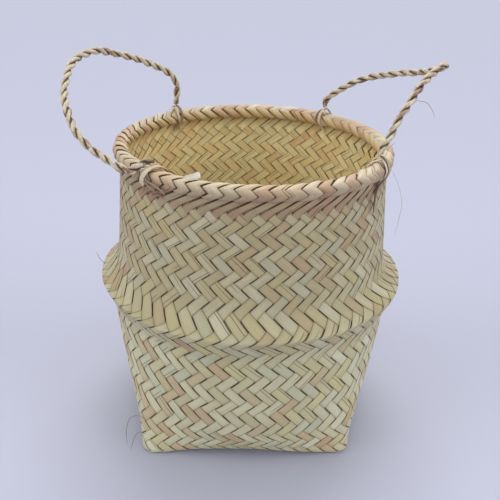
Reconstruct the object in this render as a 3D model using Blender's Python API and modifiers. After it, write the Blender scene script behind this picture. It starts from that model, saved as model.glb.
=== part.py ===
# Plaited leaf planter basket: a square foot that turns into a round mouth, a belly fold
# half way up, a braided rim roll and two twisted leaf ropes that swing on the rim.
# Metres, +Z up. The basket stands on z = 0 with its axis on Z and its front towards -Y.
import math

import bmesh
import bpy
from mathutils import Vector

# Clearance between touching pieces, and the divisions round every turned piece
FIT_GAP = 0.0003
RING_STEPS = 64
MERGE_DISTANCE = 0.00001
CREASE_DEGREES = 40          # faces that meet more sharply than this keep a hard edge
ROUTE_SAMPLES = 12           # steps between two points of a route when it is smoothed

# The plaited skin: two crossing strips of dried leaf
SKIN = 0.0016

# Foot and lower wall; the bottom of the wall, where it flares out quickly, is the foot wall
BASE_SIDE = 0.190
BASE_CORNER = 0.010
FOOT_ROUND = 0.0015          # how far the wall is drawn in where it turns under the foot
EDGE_LIFT = 0.003            # the middle of each foot edge stands this far off the ground
EDGE_LIFT_FADE = 3           # how fast that lift dies out up the wall
FLOOR_FLAT_SHARE = 0.68      # share of the floor, from the middle, that lies flat
FLOOR_RING_SHARES = (0.34, 0.68, 0.84, 1.0)
LOWER_HEIGHT = 0.122
LOWER_TOP_RADIUS = 0.1285
ROUNDING_POWER = 0.4         # small values turn the square foot round sooner
FOOT_RING_SHARES = (0.02, 0.06, 0.13, 0.24)
LOWER_RING_SHARES = (0.4, 0.6, 0.8, 1.0)

# Belly fold: the wall is folded out to a sharp ridge and back in to the neck. The underside
# runs out from the lower wall to the ridge and the shoulder runs back in above it.
RIDGE_REACH = 0.011          # ridge radius beyond the top of the lower wall
UNDERSIDE_HEIGHT = 0.0247
SHOULDER_HEIGHT = 0.024
SHOULDER_TOP_RADIUS = 0.1224
UNDERSIDE_SHARES = ((0.0, 0.0), (0.32, 0.36), (0.76, 0.74), (1.0, 1.0))
SHOULDER_SHARES = ((1.0, 0.0), (0.70, 0.14), (0.36, 0.34), (0.12, 0.62), (0.0, 1.0))

# Upper wall, the band of turned-down strip ends round it, and the rim roll
UPPER_HEIGHT = 0.0853
MOUTH_RADIUS = 0.1168        # outside of the wall just under the rim
BAND_HEIGHT = 0.011
BAND_THICKNESS = 0.0009
RIM_TUBE_RADIUS = 0.0065
RIM_INSET = 0.001            # the roll's centre lies inside the wall's outer face
RIM_TUBE_STEPS = 12

# Rope handles and the way they are tied
ROPE_RADIUS = 0.0031
ROPE_POINTS = 44
TUBE_STEPS = 2               # bevel steps: gives every rope and strand eight sides
STRAND_RADIUS = 0.0016
STRAND_POINTS = 16
HITCH_LENGTH = 0.008         # length of rim that one wrap climbs along
HITCH_OUTER_TURN = 130       # degrees from the rim's crown, outwards
HITCH_INNER_TURN = 140       # degrees from the rim's crown, inwards
TAIL_RADIUS = 0.0014
TAIL_POINTS = 10
TAIL_END_SHARE = 0.6         # the strand thins towards its tip
TAIL_DROP = 0.0022           # start of a tail below the wall's top edge
ROUND_END_DEGREES = (30, 60, 80)

# Each handle: rim angles of its two hitches in degrees, how far it leans out and how high
# it stands over the hitches, and its route from the front hitch to the back one as
# (share of reach, share of half span, share of height).
LEFT_HANDLE = {
    "side": -1,
    "front_degrees": 229,
    "back_degrees": 132,
    "reach": 0.080,
    "height": 0.059,
    "route_shares": (
        (0.0, -1.0, 0.0), (0.20, -0.99, 0.02), (0.44, -0.94, 0.03), (0.66, -0.84, 0.13),
        (0.81, -0.73, 0.27), (0.91, -0.56, 0.44), (0.98, -0.38, 0.60), (1.0, -0.15, 0.79),
        (0.97, 0.11, 0.94), (0.81, 0.38, 1.0), (0.66, 0.54, 0.93), (0.49, 0.68, 0.84),
        (0.32, 0.80, 0.73), (0.17, 0.90, 0.61), (0.05, 0.98, 0.48), (-0.01, 1.01, 0.32),
        (-0.01, 1.01, 0.16), (0.0, 1.0, 0.0)),
}
RIGHT_HANDLE = {
    "side": 1,
    "front_degrees": 332,
    "back_degrees": 53,
    "reach": 0.070,
    "height": 0.061,
    "route_shares": (
        (0.0, -1.0, 0.0), (0.01, -1.01, 0.08), (0.06, -1.0, 0.15), (0.14, -0.96, 0.29),
        (0.24, -0.90, 0.46), (0.39, -0.82, 0.64), (0.53, -0.72, 0.80), (0.72, -0.60, 0.93),
        (0.98, -0.41, 1.0), (1.0, -0.17, 0.88), (0.90, 0.10, 0.77), (0.76, 0.32, 0.70),
        (0.51, 0.65, 0.56), (0.34, 0.82, 0.44), (0.13, 0.98, 0.23), (0.01, 1.02, 0.09),
        (0.0, 1.0, 0.0)),
}

# Each tail: its hitch's angle, the face of the wall it lies on (+1 outside, -1 inside),
# how far it runs round the wall (anticlockwise from above) and how far it drops.
TAILS = {
    "left_front_tail": (LEFT_HANDLE["front_degrees"], 1, 0.019, 0.004),
    "left_back_tail": (LEFT_HANDLE["back_degrees"], -1, 0.003, 0.009),
    "right_front_tail": (RIGHT_HANDLE["front_degrees"], 1, -0.017, 0.026),
    "right_back_tail": (RIGHT_HANDLE["back_degrees"], -1, 0.004, 0.010),
}

# Dried leaf of the plaited skin, the rim and the twisted ropes: colour and roughness
SKIN_FINISH = ((0.56, 0.52, 0.33, 1.0), 0.62)
RIM_FINISH = ((0.66, 0.57, 0.42, 1.0), 0.58)
ROPE_FINISH = ((0.50, 0.40, 0.26, 1.0), 0.66)

# Heights and radii that follow from the sizes above
RIDGE_RADIUS = LOWER_TOP_RADIUS + RIDGE_REACH
UNDERSIDE_BOTTOM = LOWER_HEIGHT + FIT_GAP
RIDGE_Z = UNDERSIDE_BOTTOM + UNDERSIDE_HEIGHT
SHOULDER_BOTTOM = RIDGE_Z + FIT_GAP
UPPER_BOTTOM = SHOULDER_BOTTOM + SHOULDER_HEIGHT + FIT_GAP
UPPER_TOP = UPPER_BOTTOM + UPPER_HEIGHT
RIM_RADIUS = MOUTH_RADIUS - RIM_INSET
RIM_Z = UPPER_TOP + FIT_GAP + RIM_TUBE_RADIUS
HITCH_REACH = RIM_TUBE_RADIUS + FIT_GAP + STRAND_RADIUS
AXIS_Z = RIM_Z + HITCH_REACH + STRAND_RADIUS + FIT_GAP + ROPE_RADIUS


def clear_scene():
    for old in list(bpy.data.objects):
        bpy.data.objects.remove(old, do_unlink=True)


def make_collection(name):
    collection = bpy.data.collections.new(name)
    bpy.context.scene.collection.children.link(collection)
    return collection


def leaf_material(name, finish):
    colour, roughness = finish
    material = bpy.data.materials.new(name)
    material.use_nodes = True
    shader = material.node_tree.nodes["Principled BSDF"]
    shader.inputs["Base Color"].default_value = colour
    shader.inputs["Roughness"].default_value = roughness
    shader.inputs["Metallic"].default_value = 0.0
    return material


def add_object(name, data, material, collection):
    part = bpy.data.objects.new(name, data)
    data.materials.append(material)
    collection.objects.link(part)
    return part


def polar(radius, angle, height):
    return Vector((radius * math.cos(angle), radius * math.sin(angle), height))


# Lower wall and floor: lofts between a rounded square and a circle

def rounded_square_radius(angle, half_side, corner):
    across = max(abs(math.cos(angle)), abs(math.sin(angle)))
    along = min(abs(math.cos(angle)), abs(math.sin(angle)))
    middle = half_side - corner
    if half_side / across * along <= middle:
        return half_side / across
    lead = (across + along) * middle
    return lead + math.sqrt(max(lead * lead - 2 * middle * middle + corner * corner, 0.0))


def edge_lift(angle):
    # Highest at the middle of each side, nothing at the corners
    return EDGE_LIFT * math.cos(2 * angle) ** 2


def wall_ring(height_share, inset, drawn_in=0.0):
    rounding = height_share ** ROUNDING_POWER
    ring = []
    for step in range(RING_STEPS):
        angle = math.tau * step / RING_STEPS
        square = rounded_square_radius(angle, BASE_SIDE / 2 - inset, BASE_CORNER - inset)
        radius = square + (LOWER_TOP_RADIUS - inset - square) * rounding - drawn_in
        lift = edge_lift(angle) * (1 - height_share) ** EDGE_LIFT_FADE
        ring.append(polar(radius, angle, LOWER_HEIGHT * height_share + lift))
    return ring


def loft_mesh(name, rings, closed_band):
    # Rings of equal length joined by quads: a closed band, or a stack with capped ends
    mesh = bmesh.new()
    loops = [[mesh.verts.new(point) for point in ring] for ring in rings]
    pairs = list(zip(loops, loops[1:]))
    if closed_band:
        pairs.append((loops[-1], loops[0]))
    for near, far in pairs:
        for step in range(len(near)):
            ahead = (step + 1) % len(near)
            mesh.faces.new((near[step], near[ahead], far[ahead], far[step]))
    if not closed_band:
        for loop in (loops[0], loops[-1]):
            pole = mesh.verts.new(Vector((0, 0, loop[0].co.z)))
            for step in range(len(loop)):
                mesh.faces.new((loop[step], loop[(step + 1) % len(loop)], pole))
    bmesh.ops.recalc_face_normals(mesh, faces=mesh.faces)
    data = bpy.data.meshes.new(name)
    mesh.to_mesh(data)
    mesh.free()
    data.shade_smooth()
    data.set_sharp_from_angle(angle=math.radians(CREASE_DEGREES))
    return data


def build_foot_wall(material, collection):
    outside = [wall_ring(0.0, 0.0, FOOT_ROUND)]
    outside += [wall_ring(share, 0.0) for share in FOOT_RING_SHARES]
    inside = [wall_ring(0.0, SKIN, FOOT_ROUND / 2)]
    inside += [wall_ring(share, SKIN) for share in FOOT_RING_SHARES]
    data = loft_mesh("foot_wall", outside + inside[::-1], closed_band=True)
    return add_object("foot_wall", data, material, collection)


def build_lower_wall(material, collection):
    shares = (FOOT_RING_SHARES[-1] + FIT_GAP / LOWER_HEIGHT,) + LOWER_RING_SHARES
    outside = [wall_ring(share, 0.0) for share in shares]
    inside = [wall_ring(share, SKIN) for share in shares]
    data = loft_mesh("lower_wall", outside + inside[::-1], closed_band=True)
    return add_object("lower_wall", data, material, collection)


def floor_ring(share, height):
    # The floor's rim follows the wall's inner face and its lifted edges
    ring = []
    rise = max(share - FLOOR_FLAT_SHARE, 0.0) / (1 - FLOOR_FLAT_SHARE)
    for step, edge in enumerate(wall_ring(0.0, SKIN, FOOT_ROUND / 2 + FIT_GAP)):
        angle = math.tau * step / RING_STEPS
        radius = math.hypot(edge.x, edge.y) * share
        ring.append(polar(radius, angle, height + edge_lift(angle) * rise ** 2))
    return ring


def build_floor(material, collection):
    underside = [floor_ring(share, 0.0) for share in FLOOR_RING_SHARES]
    topside = [floor_ring(share, SKIN) for share in FLOOR_RING_SHARES]
    data = loft_mesh("base_mat", underside + topside[::-1], closed_band=False)
    return add_object("base_mat", data, material, collection)


# Turned pieces: a closed outline at +X, spun by a Screw modifier

def inner_line(outer, thickness):
    # The outline's inner side: moved in square to the line, and level at both ends
    inner = []
    last = len(outer) - 1
    for index, (radius, height) in enumerate(outer):
        before, after = outer[max(index - 1, 0)], outer[min(index + 1, last)]
        run, drop = after[0] - before[0], after[1] - before[1]
        length = math.hypot(run, drop)
        if index in (0, last):
            inner.append((radius + thickness * length / drop, height))
        else:
            inner.append((radius + thickness * drop / length, height - thickness * run / length))
    return inner


def turned_object(name, outer_top_down, thickness, material, collection):
    outline = outer_top_down + inner_line(outer_top_down, thickness)[::-1]
    data = bpy.data.meshes.new(name)
    corners = [(radius, 0.0, height) for radius, height in outline]
    edges = [(index, (index + 1) % len(corners)) for index in range(len(corners))]
    data.from_pydata(corners, edges, [])
    part = add_object(name, data, material, collection)
    spin = part.modifiers.new("Turn", 'SCREW')
    spin.axis = 'Z'
    spin.steps = RING_STEPS
    spin.render_steps = RING_STEPS
    spin.use_merge_vertices = True
    spin.merge_threshold = MERGE_DISTANCE
    spin.use_smooth_shade = True
    return part


def build_belly_shoulder(material, collection):
    reach = RIDGE_RADIUS - SHOULDER_TOP_RADIUS
    outer = [(SHOULDER_TOP_RADIUS + out * reach, SHOULDER_BOTTOM + up * SHOULDER_HEIGHT)
             for out, up in SHOULDER_SHARES[::-1]]
    return turned_object("belly_shoulder", outer, SKIN, material, collection)


def build_belly_underside(material, collection):
    outer = [(LOWER_TOP_RADIUS + out * RIDGE_REACH, UNDERSIDE_BOTTOM + up * UNDERSIDE_HEIGHT)
             for out, up in UNDERSIDE_SHARES[::-1]]
    return turned_object("belly_underside", outer, SKIN, material, collection)


def wall_radius(height):
    # Outer face of the upper wall, a straight taper from the shoulder to the mouth
    share = (height - UPPER_BOTTOM) / UPPER_HEIGHT
    return SHOULDER_TOP_RADIUS + (MOUTH_RADIUS - SHOULDER_TOP_RADIUS) * share


def build_upper_wall(material, collection):
    middle = (UPPER_BOTTOM + UPPER_TOP) / 2
    outer = [(wall_radius(height), height) for height in (UPPER_TOP, middle, UPPER_BOTTOM)]
    return turned_object("upper_wall", outer, SKIN, material, collection)


def build_band(material, collection):
    proud = FIT_GAP + BAND_THICKNESS
    outer = [(wall_radius(height) + proud, height)
             for height in (UPPER_TOP, UPPER_TOP - BAND_HEIGHT)]
    return turned_object("turned_down_band", outer, BAND_THICKNESS, material, collection)


def build_rim(material, collection):
    bpy.ops.mesh.primitive_torus_add(
        major_segments=RING_STEPS, minor_segments=RIM_TUBE_STEPS,
        major_radius=RIM_RADIUS, minor_radius=RIM_TUBE_RADIUS, location=(0, 0, RIM_Z))
    rim = bpy.context.object
    rim.name = "rim_roll"
    rim.data.name = "rim_roll"
    rim.data.shade_smooth()
    rim.data.materials.append(material)
    for holder in list(rim.users_collection):
        holder.objects.unlink(rim)
    collection.objects.link(rim)
    return rim


# Ropes and strands: curves with a round bevel and filled caps

def smooth_route(points, count):
    # A smooth curve through the points, read off at even distances
    padded = [points[0] * 2 - points[1]] + points + [points[-1] * 2 - points[-2]]
    fine = []
    for index in range(1, len(padded) - 2):
        before, start, end, after = padded[index - 1:index + 3]
        for sample in range(ROUTE_SAMPLES):
            t = sample / ROUTE_SAMPLES
            fine.append(0.5 * (2 * start + (end - before) * t
                               + (2 * before - 5 * start + 4 * end - after) * t ** 2
                               + (3 * start - before - 3 * end + after) * t ** 3))
    fine.append(points[-1])
    lengths = [0.0]
    for start, end in zip(fine, fine[1:]):
        lengths.append(lengths[-1] + (end - start).length)
    even = []
    index = 0
    for step in range(count):
        target = lengths[-1] * step / (count - 1)
        while index < len(fine) - 2 and lengths[index + 1] < target:
            index += 1
        share = (target - lengths[index]) / (lengths[index + 1] - lengths[index])
        even.append(fine[index].lerp(fine[index + 1], share))
    return even


def round_ends(points, radius):
    # Points and radius factors with a half ball added past each end
    lead_in, lead_out = [], []
    start_way = (points[0] - points[1]).normalized()
    end_way = (points[-1] - points[-2]).normalized()
    for degrees in ROUND_END_DEGREES:
        reach = radius * math.sin(math.radians(degrees))
        factor = math.cos(math.radians(degrees))
        lead_in.insert(0, (points[0] + start_way * reach, factor))
        lead_out.append((points[-1] + end_way * reach, factor))
    return lead_in + [(point, 1.0) for point in points] + lead_out


def tube_object(name, points_and_factors, radius, material, collection):
    curve = bpy.data.curves.new(name, 'CURVE')
    curve.dimensions = '3D'
    curve.bevel_depth = radius
    curve.bevel_resolution = TUBE_STEPS
    curve.use_fill_caps = True
    spline = curve.splines.new('POLY')
    spline.points.add(len(points_and_factors) - 1)
    for place, (point, factor) in zip(spline.points, points_and_factors):
        place.co = (*point, 1.0)
        place.radius = factor
    return add_object(name, curve, material, collection)


def build_handle(name, handle, material, collection):
    front = polar(RIM_RADIUS, math.radians(handle["front_degrees"]), AXIS_Z)
    back = polar(RIM_RADIUS, math.radians(handle["back_degrees"]), AXIS_Z)
    middle = (front + back) / 2
    half_span = (back - front).length / 2
    # The axis empty lies half way along the line through both hitches, X pointing out
    axis = bpy.data.objects.new(name + "_axis", None)
    axis.location = middle
    axis.rotation_euler = (0, 0, math.atan2(middle.y, middle.x))
    collection.objects.link(axis)
    route = [Vector((out * handle["reach"], along * half_span * handle["side"],
                     up * handle["height"]))
             for out, along, up in handle["route_shares"]]
    points = round_ends(smooth_route(route, ROPE_POINTS), ROPE_RADIUS)
    rope = tube_object(name + "_rope", points, ROPE_RADIUS, material, collection)
    rope.parent = axis
    return rope


def build_hitch(name, rim_degrees, material, collection):
    # One wrap of a strand over the rim, climbing along it from inside to outside
    points = []
    for step in range(STRAND_POINTS):
        share = step / (STRAND_POINTS - 1)
        turn = -HITCH_INNER_TURN + (HITCH_INNER_TURN + HITCH_OUTER_TURN) * share
        turn = math.radians(turn)
        climb = (share - HITCH_INNER_TURN / (HITCH_INNER_TURN + HITCH_OUTER_TURN)) * HITCH_LENGTH
        angle = math.radians(rim_degrees) + climb / RIM_RADIUS
        points.append(polar(RIM_RADIUS + HITCH_REACH * math.sin(turn), angle,
                            RIM_Z + HITCH_REACH * math.cos(turn)))
    return tube_object(name, [(point, 1.0) for point in points], STRAND_RADIUS,
                       material, collection)


def build_tail(name, rim_degrees, face, run, drop, material, collection):
    # The other strand's end, tucked down against the wall
    if face > 0:
        stand_off = FIT_GAP + BAND_THICKNESS + FIT_GAP + TAIL_RADIUS
    else:
        stand_off = -(SKIN + FIT_GAP + TAIL_RADIUS)
    points = []
    for step in range(TAIL_POINTS):
        share = step / (TAIL_POINTS - 1)
        height = UPPER_TOP - TAIL_DROP - drop * share
        radius = wall_radius(height) + stand_off
        angle = math.radians(rim_degrees) + run * share / radius
        factor = 1 - (1 - TAIL_END_SHARE) * share
        points.append((polar(radius, angle, height), factor))
    return tube_object(name, points, TAIL_RADIUS, material, collection)


def build_basket():
    clear_scene()
    basket = make_collection("leaf_belly_basket")
    skin = leaf_material("plaited_leaf", SKIN_FINISH)
    rim_leaf = leaf_material("rim_leaf", RIM_FINISH)
    rope_leaf = leaf_material("rope_leaf", ROPE_FINISH)
    build_floor(skin, basket)
    build_foot_wall(skin, basket)
    build_lower_wall(skin, basket)
    build_belly_underside(skin, basket)
    build_belly_shoulder(skin, basket)
    build_upper_wall(skin, basket)
    build_band(skin, basket)
    build_rim(rim_leaf, basket)
    for name, handle in (("left", LEFT_HANDLE), ("right", RIGHT_HANDLE)):
        build_handle(name + "_handle", handle, rope_leaf, basket)
        build_hitch(name + "_front_hitch", handle["front_degrees"], rope_leaf, basket)
        build_hitch(name + "_back_hitch", handle["back_degrees"], rope_leaf, basket)
    for name, (degrees, face, run, drop) in TAILS.items():
        build_tail(name, degrees, face, run, drop, rope_leaf, basket)


build_basket()
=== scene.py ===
import math

import bpy
import numpy as np
from mathutils import Matrix, Vector


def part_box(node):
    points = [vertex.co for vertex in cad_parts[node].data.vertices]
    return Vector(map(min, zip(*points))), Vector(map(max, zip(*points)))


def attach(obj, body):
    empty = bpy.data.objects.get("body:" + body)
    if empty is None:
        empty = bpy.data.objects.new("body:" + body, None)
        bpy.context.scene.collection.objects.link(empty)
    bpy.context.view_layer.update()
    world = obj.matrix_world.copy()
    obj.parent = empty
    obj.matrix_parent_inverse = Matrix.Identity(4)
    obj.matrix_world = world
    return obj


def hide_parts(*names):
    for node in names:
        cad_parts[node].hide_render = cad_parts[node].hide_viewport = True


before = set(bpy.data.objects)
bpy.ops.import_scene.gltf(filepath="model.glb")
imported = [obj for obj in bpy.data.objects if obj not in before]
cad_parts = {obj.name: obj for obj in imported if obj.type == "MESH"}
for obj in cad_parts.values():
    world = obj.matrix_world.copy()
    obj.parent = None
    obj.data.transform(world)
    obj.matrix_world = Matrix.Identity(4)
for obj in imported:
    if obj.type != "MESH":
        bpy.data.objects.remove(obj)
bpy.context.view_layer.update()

# Looks of a plaited leaf belly basket: every leaf strip, the braided rim and the twisted
# rope handles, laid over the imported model. Metres, +Z up, front towards -Y.

print("frame loaded")


def arithmetic(operation, turned=False):
    # an operator that adds one Math node; turned gives its reflected form
    def method(self, other):
        return self.math(operation, *((other, self) if turned else (self, other)))
    return method


class Wire:
    # one socket of a node tree, which can be reckoned with like a number
    def __init__(self, tree, socket=None):
        self.tree = tree
        self.socket = socket

    def make(self, kind, settings=None, sockets=None, output=0):
        node = self.tree.nodes.new(kind)
        for name, value in (settings or {}).items():
            if name == "stops":
                ramp = node.color_ramp
                ramp.elements[0].position, ramp.elements[1].position = value[0][0], value[-1][0]
                for place, colour in value[1:-1]:
                    ramp.elements.new(place)
                for element, (place, colour) in zip(ramp.elements, value):
                    element.color = colour
            else:
                setattr(node, name, value)
        for name, value in (sockets or {}).items():
            if isinstance(value, Wire):
                self.tree.links.new(value.socket, node.inputs[name])
            else:
                node.inputs[name].default_value = value
        return Wire(self.tree, node.outputs[output])

    def also(self, output):
        return Wire(self.tree, self.socket.node.outputs[output])

    def math(self, operation, *values):
        return self.make("ShaderNodeMath", {"operation": operation}, dict(enumerate(values)))

    __add__, __radd__ = arithmetic("ADD"), arithmetic("ADD", True)
    __sub__, __rsub__ = arithmetic("SUBTRACT"), arithmetic("SUBTRACT", True)
    __mul__, __rmul__ = arithmetic("MULTIPLY"), arithmetic("MULTIPLY", True)
    __truediv__ = arithmetic("DIVIDE")
    __mod__ = arithmetic("FLOORED_MODULO")
    __pow__ = arithmetic("POWER")

    def __abs__(self):
        return self.math("ABSOLUTE", self)

    def above(self, low):
        return self.math("MAXIMUM", self - low, 0.0)

    def below(self, high):
        return self.math("MINIMUM", self, high)

    def within(self, low, high):
        return self.make("ShaderNodeClamp", None, {0: self, 1: low, 2: high})

    def ease(self, start, end, first=0.0, last=1.0):
        # smooth step from first to last while the value goes from start to end
        return self.make("ShaderNodeMapRange", {"interpolation_type": "SMOOTHSTEP"},
                         {0: self, 1: start, 2: end, 3: first, 4: last})

    def point(self, x, y, z):
        return self.make("ShaderNodeCombineXYZ", None, {0: x, 1: y, 2: z})

    def split(self):
        parts = self.make("ShaderNodeSeparateXYZ", None, {0: self})
        return parts, parts.also(1), parts.also(2)

    def vector(self, operation, sockets, output=0):
        return self.make("ShaderNodeVectorMath", {"operation": operation}, sockets, output)

    def scaled(self, factor):
        return self.vector("SCALE", {0: self, 3: factor})

    def shifted(self, other):
        return self.vector("ADD", {0: self, 1: other})

    def noise(self, place, detail=2.0):
        return self.make("ShaderNodeTexNoise", None, {"Vector": place, "Scale": 1.0, "Detail": detail})

    def chance(self, number, low, high, seed):
        # one random value for each whole number
        return self.make("FunctionNodeRandomValue", {"data_type": "FLOAT"},
                         {2: low, 3: high, 7: number, 8: seed}, output=1)

    def tinted(self, factor, first, second, way="MIX"):
        return self.make("ShaderNodeMix", {"data_type": "RGBA", "blend_type": way},
                         {0: factor, 6: first, 7: second}, output=2)

    def here(self):
        return self.make("GeometryNodeInputPosition")

    def kept(self, geometry, name, value, kind="FLOAT_VECTOR", domain="POINT"):
        return self.make("GeometryNodeStoreNamedAttribute", {"data_type": kind, "domain": domain},
                         {"Geometry": geometry, "Name": name, "Value": value})

    def read(self, name, kind="FLOAT_VECTOR"):
        return self.make("GeometryNodeInputNamedAttribute", {"data_type": kind}, {"Name": name})


def paint(red, green, blue):
    # a colour as it is seen on screen, given in 0 to 255, as the shader wants it
    return tuple((c / 255 / 12.92) if c <= 10 else ((c / 255 + 0.055) / 1.055) ** 2.4
                 for c in (red, green, blue)) + (1.0,)


def shades(*stops):
    # stops of a colour ramp, each a place and a colour as it is seen
    return tuple((place, paint(*colour)) for place, *colour in stops)


def tints(*stops):
    # stops of a ramp that another colour is multiplied by, each a place and three factors
    return tuple((place, (*factors, 1)) for place, *factors in stops)


# Camera at the photograph's viewing angle

cameraView = {
    "place": (-0.0007, -0.6101, 0.4578),
    "downDegrees": 25.92,
    "rollDegrees": 1.66,
    "focalPixels": 717.1,
    "imagePixels": 500,
    "sensor": 36.0,
}


def put(name, data):
    thing = bpy.data.objects.new(name, data)
    bpy.context.scene.collection.objects.link(thing)
    return thing


def placeCamera(view):
    down, roll = math.radians(view["downDegrees"]), math.radians(view["rollDegrees"])
    forward = Vector((0, math.cos(down), -math.sin(down)))
    right = Vector((1, 0, 0))
    up = right.cross(forward)
    tiltedRight = right * math.cos(roll) + up * math.sin(roll)
    tiltedUp = up * math.cos(roll) - right * math.sin(roll)
    camera = put("camera", bpy.data.cameras.new("camera"))
    axes = Matrix((tiltedRight, tiltedUp, -forward)).transposed()
    camera.matrix_world = Matrix.Translation(view["place"]) @ axes.to_4x4()
    camera.data.sensor_width = view["sensor"]
    camera.data.lens = view["focalPixels"] / view["imagePixels"] * view["sensor"]
    bpy.context.scene.camera = camera


placeCamera(cameraView)
print("camera placed")


# Small helpers for pieces

def addPiece(name, mesh, body, nodes=()):
    piece = put(name, mesh)
    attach(piece, body)
    if nodes:
        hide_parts(*nodes)
    return piece


def newTree(name, inputs):
    # an empty tree with named inputs; gives the tree, a start wire and the input wires
    tree = bpy.data.node_groups.new(name, "GeometryNodeTree")
    tree.interface.new_socket("Geometry", in_out="INPUT", socket_type="NodeSocketGeometry")
    for label, kind in inputs.items():
        tree.interface.new_socket(label, in_out="INPUT", socket_type="NodeSocket" + kind)
    tree.interface.new_socket("Geometry", in_out="OUTPUT", socket_type="NodeSocketGeometry")
    source = tree.nodes.new("NodeGroupInput")
    wires = {label: Wire(tree, source.outputs[label]) for label in ("Geometry", *inputs)}
    return tree, Wire(tree), wires


def endTree(tree, start, geometry, material):
    smooth = start.make("GeometryNodeSetShadeSmooth", None, {"Geometry": geometry})
    whole = start.make("GeometryNodeRealizeInstances", None, {"Geometry": smooth})
    coated = start.make("GeometryNodeSetMaterial", None, {"Geometry": whole, "Material": material})
    sink = tree.nodes.new("NodeGroupOutput")
    tree.links.new(coated.socket, sink.inputs[0])
    return tree


def grow(tree, base, values, creaseDegrees=50):
    # runs the tree on a holder of the base data and gives the plain mesh that it makes
    holder = put("holder", base)
    modifier = holder.modifiers.new("grow", "NODES")
    modifier.node_group = tree
    for item in tree.interface.items_tree:
        if item.in_out == "INPUT" and item.name in values:
            modifier[item.identifier] = values[item.name]
    graph = bpy.context.evaluated_depsgraph_get()
    mesh = bpy.data.meshes.new_from_object(holder.evaluated_get(graph),
                                           preserve_all_data_layers=True, depsgraph=graph)
    holder.modifiers.remove(modifier)
    bpy.data.objects.remove(holder)
    mesh.set_sharp_from_angle(angle=math.radians(creaseDegrees))
    return mesh


def manyBars(start, count, columns, rows):
    # flat bars, one for each whole number: across runs -1 to 1, along and through -0.5 to 0.5
    bar = start.make("GeometryNodeMeshCube", None, {
        "Size": (2, 1, 1), "Vertices X": columns, "Vertices Y": rows, "Vertices Z": 2})
    spots = start.make("GeometryNodeMeshLine", None, {"Count": count, "Offset": (0, 0, 0)})
    bars = start.make("GeometryNodeInstanceOnPoints", None, {"Points": spots, "Instance": bar})
    bars = start.kept(bars, "strip", start.make("GeometryNodeInputIndex"), "FLOAT", "INSTANCE")
    whole = start.make("GeometryNodeRealizeInstances", None, {"Geometry": bars})
    return whole, start.read("strip", "FLOAT"), *start.here().split()


# Leaf finishes

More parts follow.
